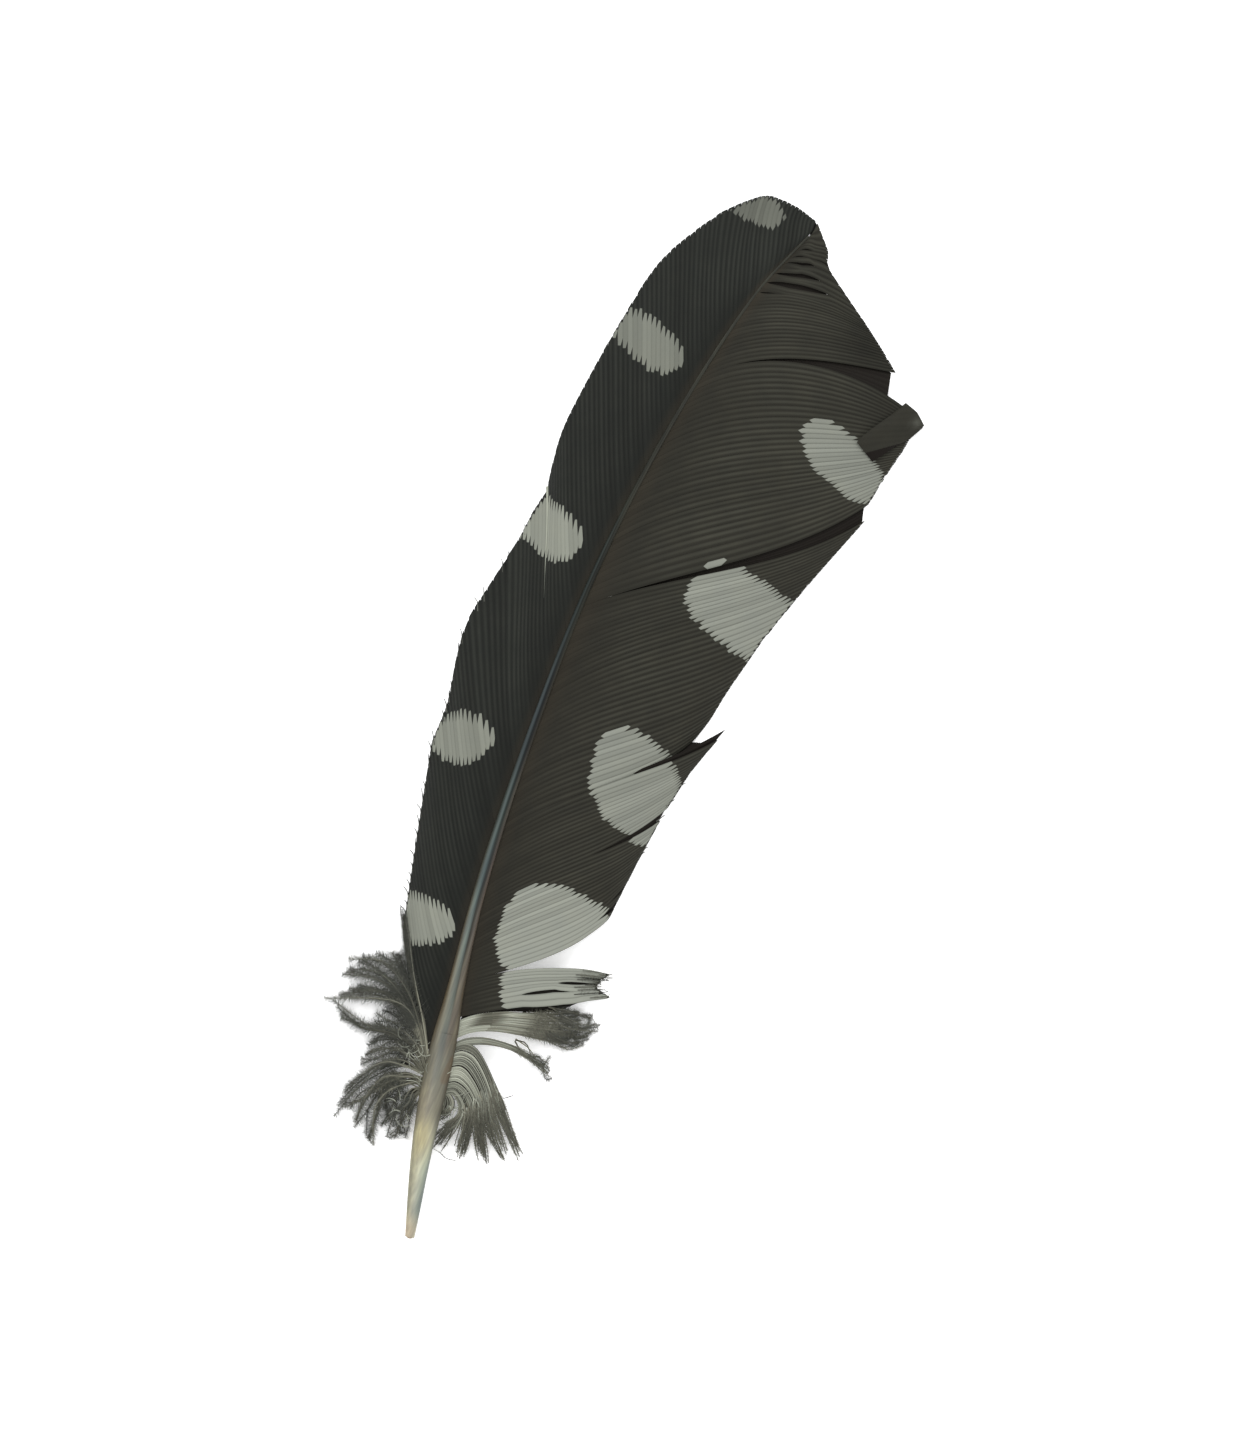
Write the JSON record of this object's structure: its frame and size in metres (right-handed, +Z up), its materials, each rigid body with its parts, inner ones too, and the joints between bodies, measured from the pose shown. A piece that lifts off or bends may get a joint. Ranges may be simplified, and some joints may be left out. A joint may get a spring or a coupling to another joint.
{
  "type": "feather quill",
  "caption": "Uncut wing-feather quill: hollow horny barrel, pith-filled bowed shaft, and dark spotted vanes split into locks that bend where they meet the shaft.",
  "frame": {"origin": "middle of the bounding box's underside, on the surface that the feather lies on, hollow side down", "axes": "+Y from the quill's end to the feather's tip, +X towards the broad inner vane, +Z up through the outer face"},
  "size_m": [0.0302, 0.0936, 0.004],
  "materials": {
    "horn": "satin translucent horn, ivory with a cool cast",
    "plug": "dry, pinkish",
    "cap_membrane": "dry papery membrane",
    "shaft_cortex": "satin grey-brown horn with a bluish sheen",
    "pith": "matt foam-like pith",
    "outer_vane": "matt ribbed barbs, cool black-brown with pale spots",
    "inner_vane": "matt ribbed barbs, warm black-brown with pale spots",
    "pale_vane": "matt ribbed barbs, pale grey with darker loose ends",
    "down": "fluffy grey down"
  },
  "bodies": {
    "shaft": {"calamus_barrel": "horn", "lower_umbilicus_plug": "plug", "pulp_cap_1": "cap_membrane", "pulp_cap_2": "cap_membrane", "pulp_cap_3": "cap_membrane", "pulp_cap_4": "cap_membrane", "pulp_cap_5": "cap_membrane", "rachis_cortex": "shaft_cortex", "rachis_pith": "pith"},
    "inner_hooks": {"inner_hook_lock_1": "pale_vane", "inner_hook_lock_2": "pale_vane", "inner_hook_lock_3": "pale_vane", "inner_hook_lock_4": "pale_vane"},
    "inner_pale": {"inner_ribbon_lock": "pale_vane", "inner_pale_lock_1": "pale_vane", "inner_pale_lock_2": "pale_vane"},
    "inner_base": {"inner_base_lock": "inner_vane"},
    "inner_lower": {"inner_lower_lock": "inner_vane"},
    "inner_middle": {"inner_middle_lock_1": "inner_vane", "inner_middle_lock_2": "inner_vane"},
    "inner_flap_two": {"inner_flap_2_low": "inner_vane", "inner_flap_2_middle": "inner_vane", "inner_flap_2_top": "inner_vane"},
    "inner_flap_one": {"inner_flap_1": "inner_vane"},
    "inner_tip": {"inner_frayed_lock": "inner_vane", "inner_tip_lock": "inner_vane"},
    "outer_tip": {"outer_tip_lock": "outer_vane"},
    "outer_upper": {"outer_upper_lock_1": "outer_vane", "outer_upper_lock_2": "outer_vane"},
    "outer_middle": {"outer_middle_lock": "outer_vane"},
    "outer_lower": {"outer_lower_lock": "outer_vane"},
    "outer_base": {"outer_base_lock": "outer_vane"},
    "outer_down": {"outer_down_tuft_1": "down", "outer_down_tuft_2": "down", "outer_down_tuft_3": "down", "outer_down_tuft_4": "down", "outer_down_tuft_5": "down"}
  },
  "joints": [
    {"name": "inner_hooks_flex", "type": "hinge", "parent": "shaft", "child": "inner_hooks", "pos_m": [-0.00292, -0.03199, 0.00214], "axis": [0.1547, -0.9835, -0.0941], "range_deg": [-15, 35], "stiffness_Nm_per_rad": 0.0000064},
    {"name": "inner_pale_flex", "type": "hinge", "parent": "shaft", "child": "inner_pale", "pos_m": [-0.00376, -0.02752, 0.00253], "axis": [0.2031, -0.9759, -0.0803], "range_deg": [-15, 35], "stiffness_Nm_per_rad": 0.0000108},
    {"name": "inner_base_flex", "type": "hinge", "parent": "shaft", "child": "inner_base", "pos_m": [-0.00483, -0.02158, 0.00296], "axis": [0.1524, -0.9863, -0.0632], "range_deg": [-12, 25], "stiffness_Nm_per_rad": 0.0000248},
    {"name": "inner_lower_flex", "type": "hinge", "parent": "shaft", "child": "inner_lower", "pos_m": [-0.00559, -0.01527, 0.0033], "axis": [0.0879, -0.9951, -0.0445], "range_deg": [-12, 25], "stiffness_Nm_per_rad": 0.0000252},
    {"name": "inner_middle_flex", "type": "hinge", "parent": "shaft", "child": "inner_middle", "pos_m": [-0.0061, -0.00301, 0.00351], "axis": [0.0249, -0.9997, -0.0074], "range_deg": [-12, 25], "stiffness_Nm_per_rad": 0.0000724},
    {"name": "inner_flap_two_flex", "type": "hinge", "parent": "shaft", "child": "inner_flap_two", "pos_m": [-0.00508, 0.01804, 0.00291], "axis": [-0.1039, -0.993, 0.0559], "range_deg": [-12, 25], "stiffness_Nm_per_rad": 0.0000956},
    {"name": "inner_flap_one_flex", "type": "hinge", "parent": "shaft", "child": "inner_flap_one", "pos_m": [-0.00283, 0.03436, 0.00177], "axis": [-0.2222, -0.9696, 0.1024], "range_deg": [-12, 25], "stiffness_Nm_per_rad": 0.0000344},
    {"name": "inner_tip_flex", "type": "hinge", "parent": "shaft", "child": "inner_tip", "pos_m": [-0.00056, 0.0419, 0.00091], "axis": [-0.3669, -0.9227, 0.1184], "range_deg": [-12, 25], "stiffness_Nm_per_rad": 0.0000252},
    {"name": "outer_tip_flex", "type": "hinge", "parent": "shaft", "child": "outer_tip", "pos_m": [-0.00179, 0.03911, 0.00123], "axis": [0.3159, 0.9422, -0.1121], "range_deg": [-12, 25], "stiffness_Nm_per_rad": 0.0000488},
    {"name": "outer_upper_flex", "type": "hinge", "parent": "shaft", "child": "outer_upper", "pos_m": [-0.00557, 0.01736, 0.0028], "axis": [0.1096, 0.9925, -0.0534], "range_deg": [-12, 25], "stiffness_Nm_per_rad": 0.0001248},
    {"name": "outer_middle_flex", "type": "hinge", "parent": "shaft", "child": "outer_middle", "pos_m": [-0.00724, -0.00363, 0.00359], "axis": [-0.0102, 0.9999, 0.0092], "range_deg": [-12, 25], "stiffness_Nm_per_rad": 0.000042},
    {"name": "outer_lower_flex", "type": "hinge", "parent": "shaft", "child": "outer_lower", "pos_m": [-0.00686, -0.01457, 0.00331], "axis": [-0.058, 0.9974, 0.0417], "range_deg": [-12, 25], "stiffness_Nm_per_rad": 0.0000444},
    {"name": "outer_base_flex", "type": "hinge", "parent": "shaft", "child": "outer_base", "pos_m": [-0.00604, -0.0258, 0.00265], "axis": [-0.0874, 0.9934, 0.0745], "range_deg": [-12, 25], "stiffness_Nm_per_rad": 0.0000448},
    {"name": "outer_down_flex", "type": "hinge", "parent": "shaft", "child": "outer_down", "pos_m": [-0.00521, -0.03361, 0.00202], "axis": [-0.1547, 0.9832, 0.0969], "range_deg": [-15, 35], "stiffness_Nm_per_rad": 0.0000078}
  ]
}
